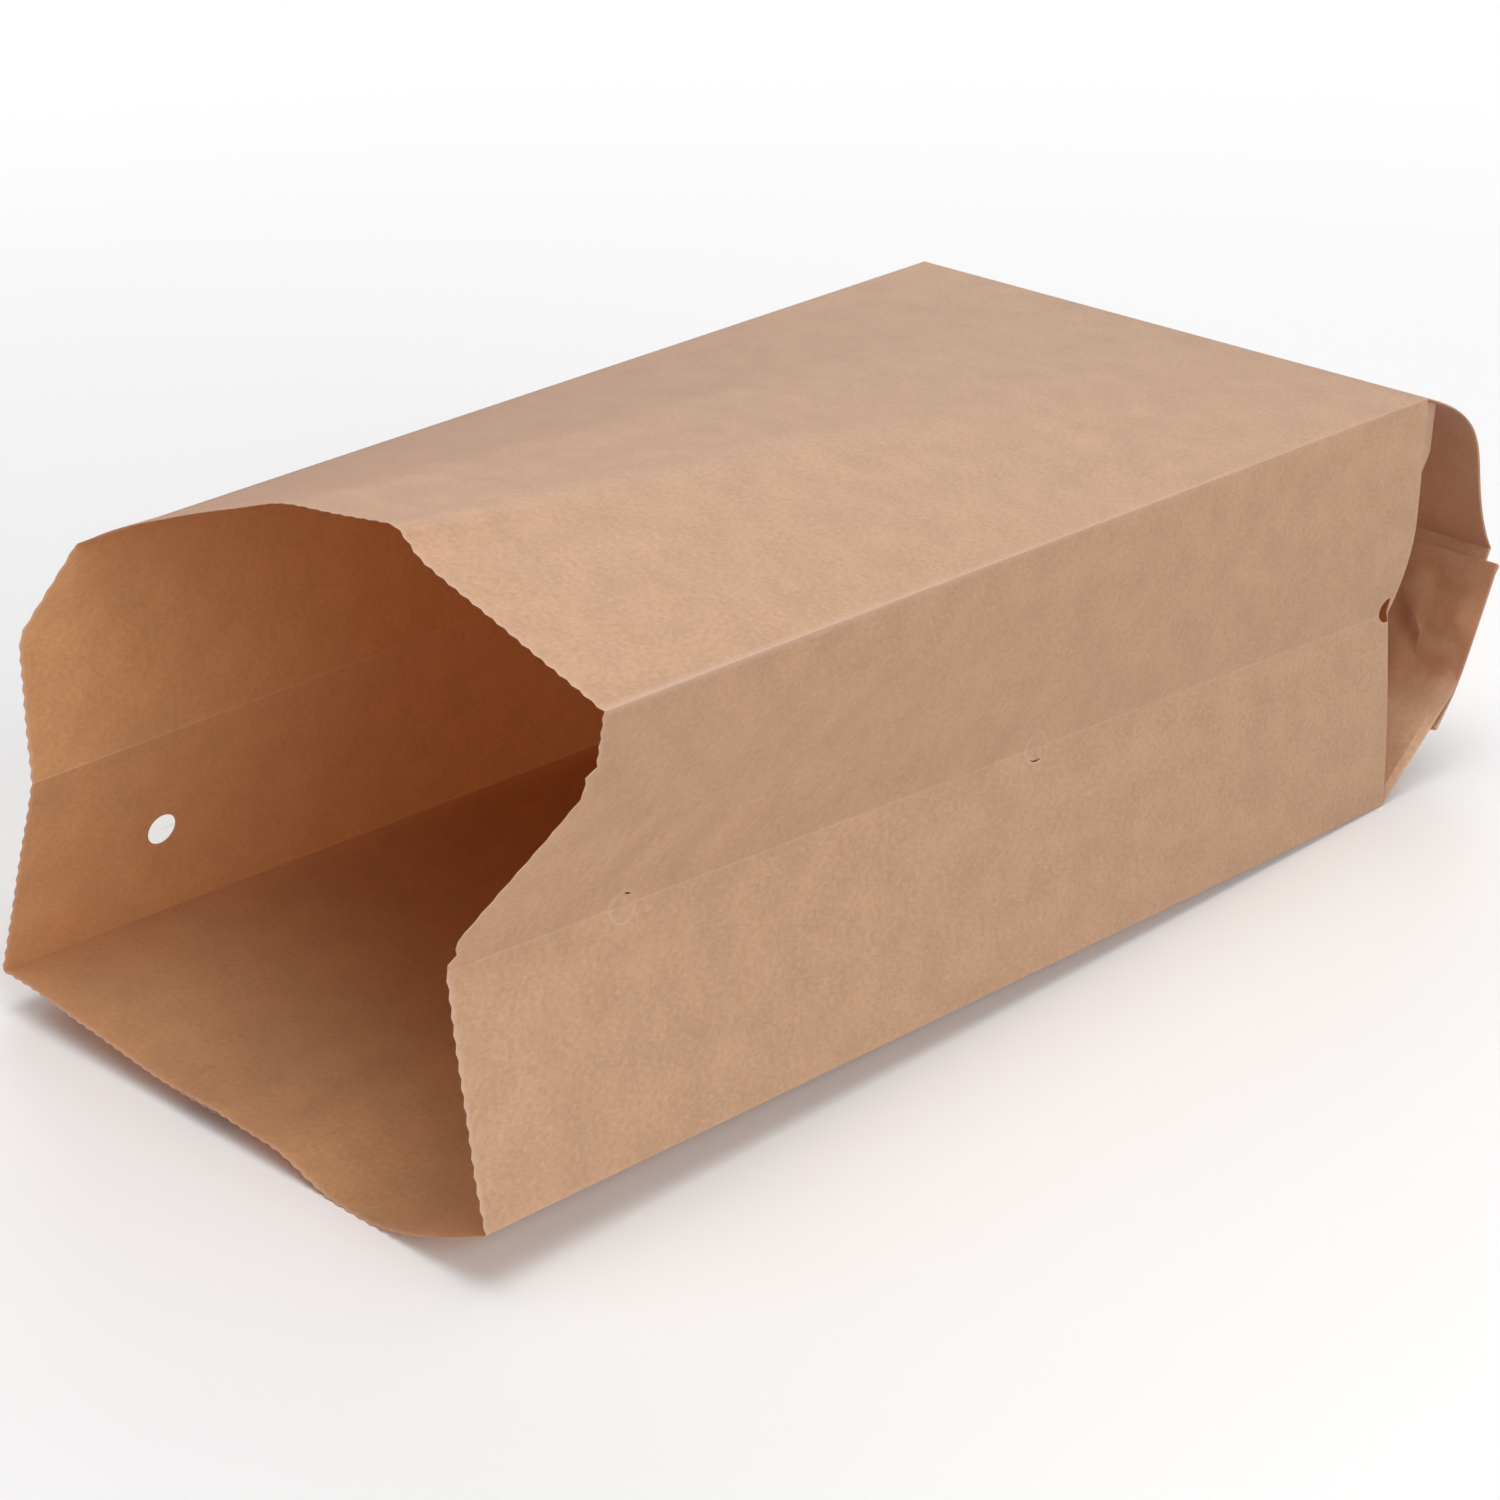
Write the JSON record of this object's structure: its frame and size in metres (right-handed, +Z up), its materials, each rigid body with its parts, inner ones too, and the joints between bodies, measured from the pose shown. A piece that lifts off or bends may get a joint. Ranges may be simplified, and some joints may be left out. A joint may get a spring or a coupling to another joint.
{
  "type": "paper snack bag",
  "caption": "Empty kraft paper bag with folded side gussets, lying on its back panel: its toothed mouth is open, and its far end is pinched, folded over and glued.",
  "frame": {"origin": "middle of the bag's footprint, on the surface it lies on", "axes": "+Y from the open mouth to the closed end, +Z up through the back and front panels, +X to the side with the vents"},
  "size_m": [0.1346, 0.2682, 0.1058],
  "materials": {
    "kraft_paper": "matte"
  },
  "bodies": {
    "root": {"paper_bag": "kraft_paper"}
  },
  "joints": []
}
